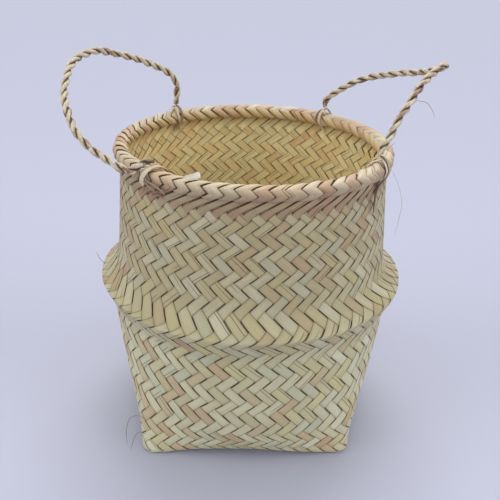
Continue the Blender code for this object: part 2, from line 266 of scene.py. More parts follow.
def leafMaterial(look):
    # dried leaf: hue by strip, long grain, splits and specks, darker edges that are partly painted shadow,
    # and painted light and shade set by the strip's lay and height
    material = bpy.data.materials.new(look["name"])
    material.use_nodes = True
    tree = material.node_tree
    tree.nodes.clear()
    start = Wire(tree)
    leaf = start.make("ShaderNodeAttribute", {"attribute_name": "leaf"}, None, "Vector")
    lay = start.make("ShaderNodeAttribute", {"attribute_name": "lay"}, None, "Vector")
    across, along, tone = leaf.split()
    over, side, extra = lay.split()
    drift = start.noise(start.point(along * look["driftScale"], tone * 57.0, 0.0))
    shade = tone + (drift - 0.5) * look["drift"]
    colour = start.make("ShaderNodeValToRGB", {"stops": look["hues"]}, {0: shade})
    # painted light: the face towards the inside is lighter and yellower, standing in for light that shines
    # through the leaf and bounces round the inside
    insideLit = start.make("ShaderNodeValToRGB", {"stops": look["insideLitHues"]}, {0: shade})
    inside = (side * -1.0).ease(0.0, 0.4)
    colour = start.tinted(inside, colour, insideLit)
    patch = start.noise(start.point(along * 60.0, across * 0.8, tone * 31.0), 3.0)
    colour = start.tinted(patch.ease(0.35, 0.75, 0.0, look["patch"]), colour, look["patchColour"])
    grain = start.noise(start.point(across * look["grainAcross"], along * look["grainAlong"],
                                    tone * 91.0), 3.0)
    streak = start.make("ShaderNodeValToRGB", {"stops": look["streak"]}, {0: grain})
    colour = start.tinted(look["grain"], colour, streak, "MULTIPLY")
    # painted shade: each strip darker towards its sides, as if its crowned middle caught the light
    sides = abs(across).ease(0.4, 0.95, 0.0, look["sideShade"])
    colour = start.tinted(sides, colour, look["sideShadeColour"], "MULTIPLY")
    fray = start.noise(start.point(along * 260.0, across * 2.0, tone * 17.0))
    # seam darkening: the strips' own brown edges plus painted shadow, strongest in the gap between two
    # parallel strips and faint where a strip lies tight against a crossing one
    gapShadeWeight = (across * extra).ease(-0.06, 0.06, look["tightSeam"], 1.0 - inside * look["calmInside"])
    edge = (abs(across) + (fray - 0.5) * look["fray"]).ease(look["edgeFrom"], 0.97) * gapShadeWeight
    splitPlace = start.noise(start.point(along * 12.0, tone * 71.0, 0.0), 0.0)
    line = abs(across - (splitPlace - 0.5) * 2.2)
    split = line.ease(0.09, 0.03) * splitPlace.ease(0.58, 0.62) * look["split"]
    speck = start.noise(start.point(across * 3.0, along * 500.0, tone * 43.0))
    dark = start.math("MAXIMUM", edge * look["edge"], split)
    dark = start.math("MAXIMUM", dark, speck.ease(0.68, 0.76) * look["fleck"])
    # one dark brown for splits, specks and edges, and for the painted seam shadow
    colour = start.tinted(dark, colour, look["darkMarkAndSeamShadeColour"])
    # painted shade up the strip: darker and warmer towards the rim, mostly on the outside
    footAndTopShaded = start.make("ShaderNodeValToRGB", {"stops": look["paleFootAndTopShade"]}, {0: along})
    colour = start.tinted(1.0 - inside * 0.8, colour, footAndTopShaded, "MULTIPLY")
    # painted shade where a strip dives under crossing strips, in the rope's grooves and over the roll's
    # outer side and underside
    colour = start.tinted((1.0 - over) * look["recessShade"], colour, look["recessShadeColour"], "MULTIPLY")
    relief = grain * 0.5 + patch * 0.3 - split * 1.2 - edge * 0.6
    bump = start.make("ShaderNodeBump", None, {
        "Strength": look["bump"], "Distance": look["relief"], "Height": relief})
    roughness = look["roughness"] + (grain - 0.5) * 0.25 + dark * 0.2
    shader = start.make("ShaderNodeBsdfPrincipled", None, {
        "Base Color": colour, "Roughness": roughness, "Normal": bump,
        "Specular IOR Level": look["sheen"]})
    sink = tree.nodes.new("ShaderNodeOutputMaterial")
    tree.links.new(shader.socket, sink.inputs["Surface"])
    return material


wallLook = {
    "name": "plaitedLeaf",
    "hues": shades((0.0, 200, 168, 136), (0.05, 213, 190, 153), (0.18, 207, 199, 160),
                   (0.4, 226, 221, 186), (0.56, 207, 208, 178), (0.7, 232, 230, 201),
                   (0.86, 214, 206, 164), (0.95, 224, 215, 162), (1.0, 206, 183, 148)),
    "insideLitHues": shades((0.0, 224, 188, 134), (0.15, 236, 211, 154), (0.35, 228, 209, 150),
                        (0.6, 239, 224, 170), (0.85, 231, 219, 168), (1.0, 224, 190, 139)),
    "driftScale": 14.0, "drift": 0.45,
    "patch": 0.35, "patchColour": paint(202, 194, 158),
    "sideShade": 0.28, "sideShadeColour": paint(206, 196, 174),
    "grainAcross": 6.0, "grainAlong": 45.0, "grain": 0.25,
    "streak": tints((0.3, 0.45, 0.42, 0.36), (0.7, 1, 1, 1)),
    "fray": 0.06, "edgeFrom": 0.82, "edge": 1.0, "darkMarkAndSeamShadeColour": paint(58, 38, 16),
    "split": 0.7, "fleck": 0.25, "tightSeam": 0.6, "calmInside": 0.15,
    # by metres up the strip: pale at the foot, darker and warmer towards the rim; the pale foot is the
    # strips' own, the darkening above it is painted shade on the upper wall and shoulder
    "paleFootAndTopShade": tints((0.0, 1, 1, 1), (0.06, 0.95, 0.95, 0.94), (0.16, 0.86, 0.86, 0.82),
                    (0.21, 0.74, 0.71, 0.67), (0.30, 0.70, 0.65, 0.60), (0.4, 0.68, 0.61, 0.54)),
    "recessShade": 0.25, "recessShadeColour": paint(150, 132, 98),
    "bump": 0.5, "relief": 0.0004, "roughness": 0.52, "sheen": 0.4,
}
noFootOrTopShade = tints((0.0, 1, 1, 1), (1.0, 1, 1, 1))
rimLook = {
    **wallLook,
    "name": "rimLeaf",
    "hues": shades((0.0, 196, 162, 132), (0.3, 214, 191, 159), (0.55, 207, 195, 164),
                   (0.8, 226, 211, 185), (1.0, 190, 158, 130)),
    "insideLitHues": shades((0.0, 206, 170, 122), (0.5, 222, 202, 150), (1.0, 200, 164, 116)),
    "patch": 0.45, "patchColour": paint(226, 208, 184), "sideShade": 0.2,
    "tightSeam": 0.2, "calmInside": 0.0, "paleFootAndTopShade": noFootOrTopShade,
    "recessShade": 0.6, "recessShadeColour": paint(160, 134, 98), "edgeFrom": 0.86, "darkMarkAndSeamShadeColour": paint(84, 52, 24),
    "grainAcross": 9.0, "grain": 0.5, "bump": 0.8,
}
bandLook = {
    **wallLook,
    "name": "bandLeaf",
    "hues": shades((0.0, 206, 172, 142), (0.3, 214, 190, 158), (0.6, 206, 196, 162),
                   (0.85, 218, 202, 172), (1.0, 202, 172, 142)),
    "patch": 0.2, "split": 0.9, "edgeFrom": 0.74, "tightSeam": 0.9, "recessShade": 0.15, "grain": 0.45,
}
ropeLook = {
    **wallLook,
    "name": "ropeLeaf",
    "hues": shades((0.0, 112, 84, 60), (0.14, 166, 130, 104), (0.28, 216, 190, 164),
                   (0.5, 242, 232, 208), (0.64, 204, 190, 148), (0.8, 248, 242, 228),
                   (0.92, 222, 206, 172), (1.0, 156, 112, 84)),
    "insideLitHues": shades((0.0, 196, 164, 126), (1.0, 214, 200, 166)),
    "driftScale": 24.0, "drift": 0.9, "sideShade": 0.0, "paleFootAndTopShade": noFootOrTopShade,
    "patch": 0.3, "patchColour": paint(230, 224, 200),
    "grainAcross": 10.0, "grainAlong": 60.0, "grain": 0.6, "edge": 0.0, "split": 0.35,
    "fleck": 0.3, "recessShade": 0.9, "recessShadeColour": paint(96, 66, 46), "bump": 0.9, "roughness": 0.6,
}
plaitedLeaf, rimLeaf, bandLeaf, ropeLeaf = [
    leafMaterial(look) for look in (wallLook, rimLook, bandLook, ropeLook)]
print("leaf finishes made")


# Rope handles: two plies of leaf laid round each other along the route

rimLow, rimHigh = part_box("rim_roll")
rollTube = (rimHigh.z - rimLow.z) / 2
rollRadius = (rimHigh.x - rimLow.x) / 2 - rollTube
rollHeight = (rimHigh.z + rimLow.z) / 2

ropeRadius = 0.0031
ropeGap = 0.0003              # between the rope's underside and the hitch that it stands on
routeSteps = 12               # between two points of a route when it is smoothed
routePoints = 90              # points along a whole handle
rope = {"Plies": 2, "Ply radius": 0.00182, "Lay": 0.00160, "Turn": 0.0225, "Points": 520,
        "Rough": 0.0002, "Leaf": ropeLeaf}
# routes run from the front tie to the back one: out, along and up, as shares of the reach,
# half the span between the ties, and the height
leftHandle = {
    "side": -1, "front": 229, "back": 132, "reach": 0.080, "height": 0.059, "length": 0.300,
    "firstEnd": 0.55, "seed": 3,
    "route": ((0, -1, 0), (.10, -1, -.02), (.165, -1, -.09), (.23, -.99, -.145),
              (.32, -.98, -.125), (.44, -.94, -.05), (.66, -.84, .10), (.81, -.73, .27),
              (.91, -.56, .44), (.98, -.38, .60), (1, -.15, .79), (.97, .11, .94), (.81, .38, 1),
              (.66, .54, .93), (.49, .68, .84), (.32, .80, .73), (.17, .90, .61), (.05, .98, .48),
              (-.01, 1.01, .32), (-.01, 1.01, .16), (0, 1, 0)),
}
rightHandle = {
    "side": 1, "front": 332, "back": 53, "reach": 0.070, "height": 0.061, "length": 0.280,
    "firstEnd": 0.9, "seed": 8,
    "route": ((0, -1, 0), (.01, -1.01, .08), (.06, -1, .15), (.14, -.96, .29), (.24, -.90, .46),
              (.39, -.82, .64), (.53, -.72, .80), (.72, -.60, .93), (.98, -.41, 1), (1, -.17, .88),
              (.90, .10, .77), (.76, .32, .70), (.51, .65, .56), (.34, .82, .44), (.13, .98, .23),
              (.01, 1.02, .09), (0, 1, 0)),
}


def smoothRoute(points, count):
    padded = [points[0] * 2 - points[1]] + points + [points[-1] * 2 - points[-2]]
    fine = []
    for index in range(1, len(padded) - 2):
        before, near, far, after = padded[index - 1:index + 3]
        for sample in range(routeSteps):
            t = sample / routeSteps
            fine.append(0.5 * (2 * near + (far - before) * t
                               + (2 * before - 5 * near + 4 * far - after) * t ** 2
                               + (3 * near - before - 3 * far + after) * t ** 3))
    fine.append(points[-1])
    spots = np.array(fine)
    run = np.concatenate(([0], np.cumsum(np.linalg.norm(np.diff(spots, axis=0), axis=1))))
    even = np.linspace(0, run[-1], count)
    return [Vector([float(np.interp(at, run, spots[:, axis])) for axis in range(3)]) for at in even]


def handleRoute(handle):
    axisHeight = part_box("left_front_hitch")[1].z + ropeGap + ropeRadius
    ends = [Vector((rollRadius * math.cos(math.radians(handle[end])),
                    rollRadius * math.sin(math.radians(handle[end])), axisHeight))
            for end in ("front", "back")]
    middle = (ends[0] + ends[1]) / 2
    halfSpan = (ends[1] - ends[0]).length / 2
    out = Vector((middle.x, middle.y, 0)).normalized()
    along = Vector((-out.y, out.x, 0)) * handle["side"]
    return smoothRoute([middle + out * (o * handle["reach"]) + along * (a * halfSpan)
                        + Vector((0, 0, u * handle["height"])) for o, a, u in handle["route"]], routePoints)


def routeCurve(points):
    data = bpy.data.curves.new("route", "CURVE")
    data.dimensions = "3D"
    spline = data.splines.new("POLY")
    spline.points.add(len(points) - 1)
    for place, point in zip(spline.points, points):
        place.co = (*point, 1.0)
    return data


def buildRopeTree():
    tree, start, given = newTree("rope", {
        "Plies": "Int", "Ply radius": "Float", "Lay": "Float", "Turn": "Float", "Points": "Int",
        "Rough": "Float", "First end": "Float", "Seed": "Int", "Leaf": "Material"})
    line = start.make("GeometryNodeResampleCurve", None, {
        "Curve": given["Geometry"], "Count": given["Points"]})
    plies = start.make("GeometryNodeDuplicateElements", {"domain": "SPLINE"}, {
        "Geometry": line, "Amount": given["Plies"]})
    plies = start.kept(plies, "ply", plies.also(1), "FLOAT", "CURVE")
    way = start.make("GeometryNodeSplineParameter", output="Length")
    ply = start.read("ply", "FLOAT")
    plies = start.kept(plies, "along", way, "FLOAT")
    plies = start.kept(plies, "centre", start.here())
    loose = start.noise(start.point(way * 45.0, given["Seed"] * 1.7, 0.0), 1.0) - 0.5
    phase = way * math.tau / given["Turn"] + ply * (math.tau / 2) + loose * 1.6
    normal = start.make("GeometryNodeInputNormal")
    tangent = start.make("GeometryNodeInputTangent")
    side = start.vector("CROSS_PRODUCT", {0: tangent, 1: normal})
    # towards its first end the rope is slimmer, and at both ends the plies close up
    share = start.make("GeometryNodeSplineParameter")
    slim = given["First end"] + (1.0 - given["First end"]) * share.ease(0.0, 0.05)
    lay = given["Lay"] * slim * (0.55 + (1.0 - share).ease(0.0, 0.03) * 0.45)
    plies = start.kept(plies, "slim", slim, "FLOAT")
    offset = normal.scaled(start.math("COSINE", phase) * lay).shifted(
        side.scaled(start.math("SINE", phase) * lay))
    laid = start.make("GeometryNodeSetPosition", None, {"Geometry": plies, "Offset": offset})
    section = start.make("GeometryNodeCurvePrimitiveCircle", None, {
        "Resolution": 14, "Radius": given["Ply radius"]})
    section = start.kept(section, "around", start.make("GeometryNodeSplineParameter"), "FLOAT")
    tube = start.make("GeometryNodeCurveToMesh", None, {
        "Curve": laid, "Profile Curve": section, "Scale": start.read("slim", "FLOAT"),
        "Fill Caps": True})
    around = start.read("around", "FLOAT")
    length = start.read("along", "FLOAT")
    # a ply is a few leaf strips twisted together: shallow grooves that wind round it
    winding = around * 3.0 + length * 95.0 + ply * 0.64
    groove = abs(start.math("SINE", winding * math.pi))
    own = start.math("FLOOR", winding) % 3.0
    lump = start.noise(start.point(length * 90.0, ply * 9.0, around * 1.5)) - 0.5
    depth = (groove - 0.6) * given["Rough"] + lump * given["Rough"] * 2.0
    outward = start.make("GeometryNodeInputNormal")
    tube = start.make("GeometryNodeSetPosition", None, {
        "Geometry": tube, "Offset": outward.scaled(depth)})
    facing = abs(((around + length * 66.0) % 1.0) * 2.0 - 1.0) * 2.0 - 1.0
    tone = start.noise(start.point(length * 26.0, ply * 5.0 + given["Seed"], own * 7.3))
    tube = start.kept(tube, "leaf", start.point(facing, length, tone.ease(0.3, 0.7)))
    # painted shade: the rope darker where its surface lies close to its middle, between the plies, and in
    # the grooves
    away = start.vector("DISTANCE", {0: start.here(), 1: start.read("centre")}, "Value")
    proud = away.ease(0.0016, 0.0030) * (0.75 + groove * 0.25)
    tube = start.kept(tube, "lay", start.point(proud, 1.0, ply))
    return endTree(tree, start, tube, given["Leaf"])


ropeTree = buildRopeTree()


def buildRope(name, body, node, handle):
    points = handleRoute(handle)
    length = sum((b - a).length for a, b in zip(points, points[1:]))
    values = {**rope, "First end": handle["firstEnd"], "Seed": handle["seed"]}
    mesh = grow(ropeTree, routeCurve(points), values, creaseDegrees=60)
    piece = addPiece(name, mesh, body, (node,))
    print(name, "laid,", round(length, 4), "m")


buildRope("leftHandleRope", "left_handle", "left_handle_rope", leftHandle)
buildRope("rightHandleRope", "right_handle", "right_handle_rope", rightHandle)


# The wall's form: the middle of the plaited skin, laid out in strip columns and weave rows

wall = {
    "strips": 60,             # leaf strips each way
    "footSide": 0.190,
    "footCorner": 0.010,
    "footRound": 0.003, "footRoundShare": 0.03,  # drawn in this far, over the lowest share
    "roundingPower": 0.4,     # how soon the square foot turns round
    "edgeLift": 0.0075,       # middle of each foot edge above the ground
    "edgeLiftFade": 3,
    "cornerPull": 0.0085, "pullSpread": 0.030, "pullHeight": 0.045,  # front left foot corner
    "skin": 0.0016,
    "groundGap": 0.0006,      # lifts the middle of the skin so that no strip dips below the ground
    "underShares": ((0, .36, .74, 1), (0, .32, .76, 1)),  # up and out, under the ridge
    "shoulderHollow": 2.35,   # how quickly the shoulder flattens towards the ridge
    "mouthRadius": 0.1168,
    "hiddenTop": 0.007,       # the skin runs on this far inside the rim roll
    "underFoot": 0.011,       # and this far under the foot's edge
    "startAngle": -135.0,     # column 0 stands on the front left corner of the foot
    "rowAngle": -97.0,        # the rows are even along the skin here
    "columnsPerStrip": 6,
    "rowsPerLevel": 8,
    "wobble": 0.0007,         # how unevenly it has dried
    "rowShift": 0.36,         # weave rows lie this much higher on the ridge, front right
    "shiftAngle": -62.0, "shiftSpread": 26.0, "shiftLevel": 12.6, "shiftRows": 2.6,
}
# height of each row's lower edge in mm, counted up from the foot; even rows lean right
rowHeights = (0, 8.5, 17.1, 26.0, 35.2, 48.2, 64.1, 75.9, 90.9, 104.2, 116.8, 129.9, 139.9,
              148.9, 162.1, 174.8, 188.2, 197.9, 211.0, 219.9, 230.6, 239.9, 251.1, 262.0)
rowOffset = -0.25             # a row's edge lies a quarter level below its strips' crossing
topLevel = 22.9               # weave level at which the skin ends inside the roll
footLevel = -0.9              # and under the foot

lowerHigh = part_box("lower_wall")[1]
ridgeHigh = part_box("belly_underside")[1]
upperLow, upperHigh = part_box("upper_wall")


def squareness(angle):
    # the larger and the smaller of an angle's cosine and sine
    cosine, sine = abs(np.cos(angle)), abs(np.sin(angle))
    return np.maximum(cosine, sine), np.minimum(cosine, sine)


def roundedSquare(angle, halfSide, corner):
    across, along = squareness(angle)
    middle = halfSide - corner
    lead = (across + along) * middle
    bow = np.sqrt(np.maximum(lead * lead - 2 * middle * middle + corner * corner, 0))
    return np.where(halfSide / across * along <= middle, halfSide / across, lead + bow)


def outerFace(zone, angle):
    # radius and height of the skin's outer face; zone runs 0-1 up the lower wall, 1-2 under
    # the ridge, 2-3 over the shoulder, 3-4 up the upper wall and on into the roll
    share = np.clip(zone, 0, 1)
    square = roundedSquare(angle, wall["footSide"] / 2, wall["footCorner"])
    radius = square + (lowerHigh.x - square) * share ** wall["roundingPower"]
    radius = radius - wall["footRound"] * np.clip(1 - share / wall["footRoundShare"], 0, 1) ** 1.5
    lift = wall["edgeLift"] * np.cos(2 * angle) ** 2
    height = lowerHigh.z * share + lift * (1 - share) ** wall["edgeLiftFade"]
    radius = radius - np.clip(-zone, 0, 1) * wall["underFoot"] / sum(squareness(angle))
    under = np.clip(zone - 1, 0, 1)
    radius = radius + (ridgeHigh.x - lowerHigh.x) * np.interp(under, *wall["underShares"])
    height = height + (ridgeHigh.z - lowerHigh.z) * under
    over = np.clip(zone - 2, 0, 1)
    radius = radius + (upperHigh.x - ridgeHigh.x) * (1 - (1 - over) ** wall["shoulderHollow"])
    height = height + (upperLow.z - ridgeHigh.z) * over
    upper = np.clip(zone - 3, 0, 1)
    radius = radius + (wall["mouthRadius"] - upperHigh.x) * upper
    height = height + (upperHigh.z - upperLow.z) * upper
    height = height + wall["hiddenTop"] * np.clip(zone - 4, 0, 1)
    return radius, height


def pullCorner(points):
    # the front left corner of the foot stands further forward than the others
    half = wall["footSide"] / 2 - wall["footCorner"]
    away = np.hypot(points[..., 0] + half, points[..., 1] + half) / wall["pullSpread"]
    low = np.clip(1 - points[..., 2] / wall["pullHeight"], 0, 1) ** 2
    points[..., 1] -= wall["cornerPull"] * np.exp(-away ** 2) * low
    return points


def runAlong(x, y):
    return np.concatenate(([0], np.cumsum(np.hypot(np.diff(x), np.diff(y)))))


def weaveRows():
    # weave level and zone of each row of the form
    zones = np.linspace(-1, 5, 6001)
    radius, height = outerFace(zones, np.full_like(zones, math.radians(wall["rowAngle"])))
    arc = runAlong(radius, height)
    arc = arc - np.interp(0, zones, arc)
    wallPart = zones >= 0
    heights = np.array(rowHeights) / 1000
    heights[0] = height[wallPart][0]
    heights[1:3] = np.maximum(heights[1:3], height[wallPart][0] + 0.001)
    knots = np.interp(heights, height[wallPart], arc[wallPart])
    slope = knots[1] - knots[0]
    knotLevels = np.arange(len(rowHeights)) + rowOffset
    below = knotLevels[0] - footLevel + 1   # levels that the rows run on past the knots
    above = topLevel + 2 - knotLevels[-1]
    knotLevels = np.concatenate(([footLevel - 1], knotLevels, [topLevel + 2]))
    knots = np.concatenate(([knots[0] - slope * below], knots, [knots[-1] + slope * above]))
    levels = np.linspace(footLevel, topLevel,
                         round((topLevel - footLevel) * wall["rowsPerLevel"]) + 1)
    smooth = sum(np.interp(levels + step, knotLevels, knots) for step in (-0.3, -0.1, 0.1, 0.3)) / 4
    # one row lies exactly on the ridge
    ridgeArc = float(np.interp(2, zones, arc))
    ridgeLevel = float(np.interp(ridgeArc, smooth, levels))
    nearest = int(np.argmin(abs(levels - ridgeLevel)))
    levels[nearest], smooth[nearest] = ridgeLevel, ridgeArc
    return levels, np.interp(smooth, arc, zones)


def footAngles(columns):
    # equal steps along the rounded square, from its front left corner
    angle = math.radians(wall["startAngle"]) + np.linspace(0, math.tau, 4001)
    radius = roundedSquare(angle, wall["footSide"] / 2, wall["footCorner"])
    run = runAlong(radius * np.cos(angle), radius * np.sin(angle))
    return np.interp(columns / wall["strips"] * run[-1], run, angle)


def formMesh(name, points, outward, flatPlaces):
    # a grid of points as a mesh with a UV layout and the direction that faces out
    rows, columns = points.shape[:2]
    mesh = bpy.data.meshes.new(name)
    corner = np.arange(rows * columns).reshape(rows, columns)
    faces = np.stack((corner[:-1, :-1], corner[:-1, 1:], corner[1:, 1:], corner[1:, :-1]), -1)
    mesh.from_pydata(points.reshape(-1, 3), [], faces.reshape(-1, 4))
    mesh.uv_layers.new(name="spread")
    loops = np.zeros(len(mesh.loops), dtype=np.int32)
    mesh.loops.foreach_get("vertex_index", loops)
    mesh.uv_layers["spread"].uv.foreach_set("vector", flatPlaces.reshape(-1, 2)[loops].ravel())
    keepVectors(mesh, "outward", outward)
    return mesh


def keepVectors(mesh, name, values):
    layer = mesh.attributes.new(name, "FLOAT_VECTOR", "POINT")
    layer.data.foreach_set("vector", np.array(values, dtype=np.float32).ravel())


def buildWallForm():
    levels, zones = weaveRows()
    count = wall["strips"] * wall["columnsPerStrip"]
    columns = np.linspace(0, wall["strips"], count + 1)
    column = np.repeat(columns[None], len(levels), 0)
    square = footAngles(column)
    even = math.radians(wall["startAngle"]) + column / wall["strips"] * math.tau
    away = (np.degrees(even) - wall["shiftAngle"] + 180) % 360 - 180
    shift = wall["rowShift"] * np.exp(-(away / wall["shiftSpread"]) ** 2)
    shift = shift * np.exp(-((levels[:, None] - wall["shiftLevel"]) / wall["shiftRows"]) ** 2)
    zone = np.interp(levels[:, None] + shift, levels, zones)
    angle = square + (even - square) * np.clip(zone, 0, 1) ** wall["roundingPower"]
    radius, height = outerFace(zone, angle)
    swell = np.sin(np.clip(zone, 0, 4) * math.pi / 4) * wall["wobble"]
    radius = radius + swell * (np.sin(3 * angle + 1) + 0.6 * np.sin(7 * angle + 2 * zone)
                               + 0.5 * np.sin(11 * angle - 3 * zone))
    height = height + 0.5 * swell * np.sin(5 * angle + zone)
    height = height + wall["groundGap"] * np.clip(1 - zone / 0.05, 0, 1)
    outer = pullCorner(np.stack((radius * np.cos(angle), radius * np.sin(angle), height), -1))
    up = np.gradient(outer, axis=0)
    ahead = np.gradient(outer, axis=1)
    ahead[:, 0] = ahead[:, -1] = ahead[:, 0] + ahead[:, -1]
    outward = np.cross(ahead, up)
    outward /= np.linalg.norm(outward, axis=-1, keepdims=True)
    vertical = (levels - footLevel) / (topLevel - footLevel)
    places = np.stack((column / wall["strips"], np.repeat(vertical[:, None], count + 1, 1)), -1)
    return formMesh("wallForm", outer - outward * wall["skin"] / 2, outward, places)


floorMat = {"strips": 30, "squares": 15.0, "rows": 121, "seeds": (41, 47), "flatShare": 0.68,
            "lines": 61}


def buildFloorForm():
    # the floor inside the foot, its middle flat and its edges following the lifted sides
    half = wall["footSide"] / 2 - wall["skin"]
    line = np.linspace(-1, 1, floorMat["lines"])
    y, x = np.meshgrid(line, line, indexing="ij")
    angle = np.arctan2(y, x)
    reach = np.maximum(abs(x), abs(y))
    rise = np.clip((reach - floorMat["flatShare"]) / (1 - floorMat["flatShare"]), 0, 1) ** 2
    height = wall["skin"] / 2 + wall["groundGap"] + wall["edgeLift"] * np.cos(2 * angle) ** 2 * rise
    trim = roundedSquare(angle, half, wall["footCorner"]) * squareness(angle)[0] / half
    trim = 1 + (trim - 1) * reach ** 2
    points = pullCorner(np.stack((x * half * trim, y * half * trim, height), -1))
    outward = np.zeros_like(points)
    outward[..., 2] = -1
    return formMesh("floorForm", points, outward, np.stack(((x + 1) / 2, (y + 1) / 2), -1))


# Plaiting: strips that run over two and under two, laid on a form

def buildPlaitTree():
    tree, start, given = newTree("plait", {
        "Strips": "Int", "First strip": "Float", "Strip step": "Float", "Rising": "Float",
        "Low level": "Float", "High level": "Float", "Rows": "Int", "Strips round": "Float",
        "Form low": "Float", "Form high": "Float", "Square": "Float",
        "Lean": "Float", "Lean from": "Float", "Proud": "Float", "Outset": "Float",
        "Width": "Float", "Thickness": "Float", "Lift": "Float", "Crown": "Float",
        "Shift": "Float", "Seed": "Int", "Leaf": "Material"})
    whole, strip, across, run, through = manyBars(start, given["Strips"], 5, given["Rows"])
    name = given["First strip"] + strip * given["Strip step"]
    # on a square form a strip is as long as the square lets it be
    beside = name * given["Rising"] * 2.0
    low = given["Low level"] * 2.0 - given["Square"] * beside.below(0.0)
    high = given["High level"] * 2.0 - given["Square"] * beside.above(0.0)
    step = low + (run + 0.5) * (high - low)
    wander = start.noise(start.point(name * 3.7, step * 0.13, given["Seed"] * 1.3), 1.0)
    wide = start.chance(strip, 0.95, 1.0, given["Seed"])
    swing = start.noise(start.point(step * 0.21, name * 5.1, given["Seed"] * 2.1), 1.0)
    width = given["Width"] * wide * (1.0 + (swing - 0.5) * 0.10)
    sideways = 0.25 * (across * width + (wander - 0.5) * given["Shift"])
    level = step * 0.5 - given["Rising"] * sideways
    extra = given["Lean"] * (level.above(given["Lean from"]))
    column = name + given["Rising"] * step * 0.5 + sideways + extra
    # the strip lies on top for two crossings and under for the next two
    phase = (step - 0.5) % 4.0
    travel = ((step + 0.5) % 2.0 - 1.0) * given["Rising"]
    layer = (abs(phase - 2.0) - 1.0).ease(-0.24, 0.24, -1.0, 1.0) * given["Rising"]
    rest = start.noise(start.point(step * 0.9, name * 7.7, given["Seed"] * 3.3), 1.0)
    crown = (1.0 - across * across) * given["Crown"]
    tilt = across * (rest - 0.5) * given["Thickness"] * 0.9
    tall = layer * given["Lift"] * (0.85 + rest * 0.3) + through * given["Thickness"] + crown + tilt
    leant = level.ease(given["Lean from"], given["Lean from"] + 0.4)
    tall = tall + given["Outset"] + given["Proud"] * leant
    tone = start.chance(strip, 0.0, 1.0, given["Seed"] + 5)
    whole = start.kept(whole, "leaf", start.point(across, step * 0.0084, tone))
    whole = start.kept(whole, "lay", start.point(layer * 0.5 + 0.5, through * 2.0, travel))
    turn = column / given["Strips round"]
    flatX = start.make("ShaderNodeMix", {"data_type": "FLOAT"},
                       {0: given["Square"], 2: turn % 1.0, 3: turn + 0.5})
    flatY = start.make("ShaderNodeMix", {"data_type": "FLOAT"}, {
        0: given["Square"], 3: level / given["Strips round"] + 0.5,
        2: (level - given["Form low"]) / (given["Form high"] - given["Form low"])})
    spot = start.point(flatX.within(0.0, 0.99999), flatY.within(0.0005, 0.9995), 0.0)
    layout = start.read("spread")
    middle, outward = [start.make(
        "GeometryNodeSampleUVSurface", {"data_type": "FLOAT_VECTOR"},
        {"Mesh": given["Geometry"], "Value": value, "UV Map": layout, "Sample UV": spot})
        for value in (start.here(), start.read("outward"))]
    laid = start.make("GeometryNodeSetPosition", None, {
        "Geometry": whole, "Position": middle.shifted(outward.scaled(tall))})
    return endTree(tree, start, laid, given["Leaf"])


plaitTree = buildPlaitTree()
wallForm = buildWallForm()
floorForm = buildFloorForm()

plaiting = {
    "First strip": 0.0, "Strip step": 1.0, "Rising": 1.0,
    "Strips round": float(wall["strips"]), "Form low": footLevel, "Form high": topLevel,
    "Square": 0.0, "Lean": 0.0, "Lean from": 99.0, "Proud": 0.0, "Outset": 0.0,
    "Width": 1.0, "Thickness": 0.0006, "Lift": 0.00042, "Crown": 0.00022, "Shift": 0.10,
    "Leaf": plaitedLeaf,
}
# family of wall strips: its direction, the level that it ends at, and its seed
wallStrips = {"risingStrips": (1.0, 21.3, 11), "fallingStrips": (-1.0, 22.8, 23)}
stripLow = footLevel + 0.1
rowsPerStep = 5               # rows of a strip's mesh between two crossings
wallNodes = ("foot_wall", "lower_wall", "belly_underside", "belly_shoulder", "upper_wall")


def buildWallStrips():
    for family, (rising, high, seed) in wallStrips.items():
        for first, part in enumerate("AB"):
            values = {**plaiting, "Strips": wall["strips"] // 2, "First strip": float(first),
                      "Strip step": 2.0, "Rising": rising, "Low level": stripLow,
                      "High level": high, "Rows": round((high - stripLow) * 2 * rowsPerStep) + 1,
                      "Seed": seed + first * 3}
            mesh = grow(plaitTree, wallForm, values)
            addPiece(family + part, mesh, "basket", wallNodes)
    print("wall plaited")


buildWallStrips()


def buildFloorStrips():
    half = floorMat["squares"] / 2
    for family, rising, seed in (("floorRising", 1.0, floorMat["seeds"][0]),
                                 ("floorFalling", -1.0, floorMat["seeds"][1])):
        values = {**plaiting, "Strips": floorMat["strips"],
                  "First strip": (1 - floorMat["strips"]) / 2, "Strips round": floorMat["squares"],
                  "Square": 1.0, "Rising": rising, "Low level": -half, "High level": half,
                  "Rows": floorMat["rows"], "Seed": seed}
        mesh = grow(plaitTree, floorForm, values)
        addPiece(family, mesh, "basket", ("base_mat",))
    print("floor plaited")


buildFloorStrips()

band = {
    "Low level": 21.15, "High level": 22.62, "Lean": 0.6, "Lean from": 21.6, "Rows": 31,
    "Width": 0.92, "Lift": 0.0001, "Proud": 0.0005, "Crown": 0.0003, "Outset": 0.0007, "Seed": 61,
}


def buildBand():
    # strip ends drawn over to the right and tucked up under the roll
    values = {**plaiting, **band, "Strips": wall["strips"], "Leaf": bandLeaf}
    mesh = grow(plaitTree, wallForm, values)
    addPiece("turnedDownEnds", mesh, "basket", ("turned_down_band",))
    print("strip ends tucked under the rim")


buildBand()


# Rim roll: each strip end folded over the edge into a chevron

rim = {"Elements": 60, "Puff": 0.0016, "Meet": 0.87, "Seed": 71, "Leaf": rimLeaf,
       "Radius": rollRadius, "Height": rollHeight, "Tube": rollTube}
# a fold's way round the roll in degrees from its crown, outside first, and how far along the
# rim it goes on each stretch, in elements; leaf is its thickness in metres
fold = {"from": 152.0, "sweep": 290.0, "bend": 45.0, "outside": (51, 0.43),
        "tuck": (96.0, 54, 0.55), "crown": (97, 1.0), "inside": (-52.0, 85, 0.85),
        "leaf": 0.0005}


